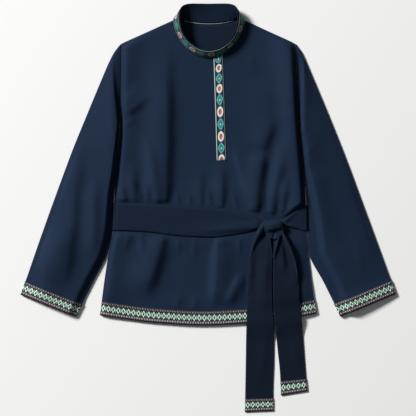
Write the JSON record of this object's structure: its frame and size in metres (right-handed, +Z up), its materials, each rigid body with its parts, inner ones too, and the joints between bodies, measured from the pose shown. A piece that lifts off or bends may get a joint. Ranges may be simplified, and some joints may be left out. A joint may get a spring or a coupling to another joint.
{
  "type": "sami gakti tunic",
  "caption": "Long-sleeved pullover tunic with a stand collar, patterned ribbons at neck, cuffs and hem, and a knotted sash belt, laid flat.",
  "frame": {"origin": "on the surface that the garment lies on, under the middle of its bounding box", "axes": "+X to the wearer's left (the picture's right), +Y from the hem towards the collar, +Z up out of the surface, so the front faces +Z"},
  "size_m": [0.9018, 0.9804, 0.0268],
  "materials": {
    "cloth": "matt dark navy plain weave",
    "sash": "matt dark navy plain weave, doubled",
    "edge_ribbon": "woven ribbon, mint diamonds and mauve ticks on black",
    "neck_ribbon": "woven ribbon, cream and teal ovals on dark navy",
    "piping": "pale grey corded piping"
  },
  "bodies": {
    "root": {"front": "cloth", "back": "cloth", "sleeve_right": "cloth", "sleeve_left": "cloth", "collar": "cloth", "collar_ribbon": "neck_ribbon", "placket_ribbon": "neck_ribbon", "neck_piping": "piping", "hem_ribbon_front": "edge_ribbon", "hem_ribbon_back": "edge_ribbon", "cuff_ribbon_right": "edge_ribbon", "cuff_ribbon_left": "edge_ribbon", "belt": "sash", "belt_knot": "sash", "tail_long": "sash", "tail_short": "sash", "tail_ribbon_long": "edge_ribbon", "tail_ribbon_short": "edge_ribbon"}
  },
  "joints": []
}
